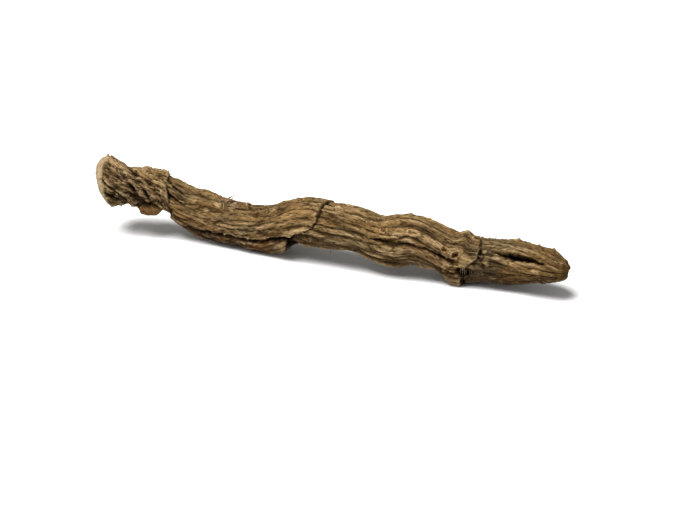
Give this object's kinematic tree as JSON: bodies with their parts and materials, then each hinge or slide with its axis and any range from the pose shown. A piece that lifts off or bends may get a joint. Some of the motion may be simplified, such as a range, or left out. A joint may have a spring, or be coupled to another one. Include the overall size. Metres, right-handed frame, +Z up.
{
  "type": "calamus root",
  "caption": "Dried calamus rootstock: a bent, ridged tan stem with a pale cut end, cracked nodes, round rootlet scars and a split, weathered far end, lying on a surface.",
  "frame": {"origin": "on the surface, under the middle of the root's bounding box", "axes": "+X runs along the root from the pale cut end to the weathered end, -Y is the front of the root, +Z is up"},
  "size_m": [0.1546, 0.0205, 0.025],
  "materials": {
    "rhizome": "dry matt tan bark with dark creases and a pale spongy cut end"
  },
  "bodies": {
    "root": {"rhizome": "rhizome"}
  },
  "joints": []
}
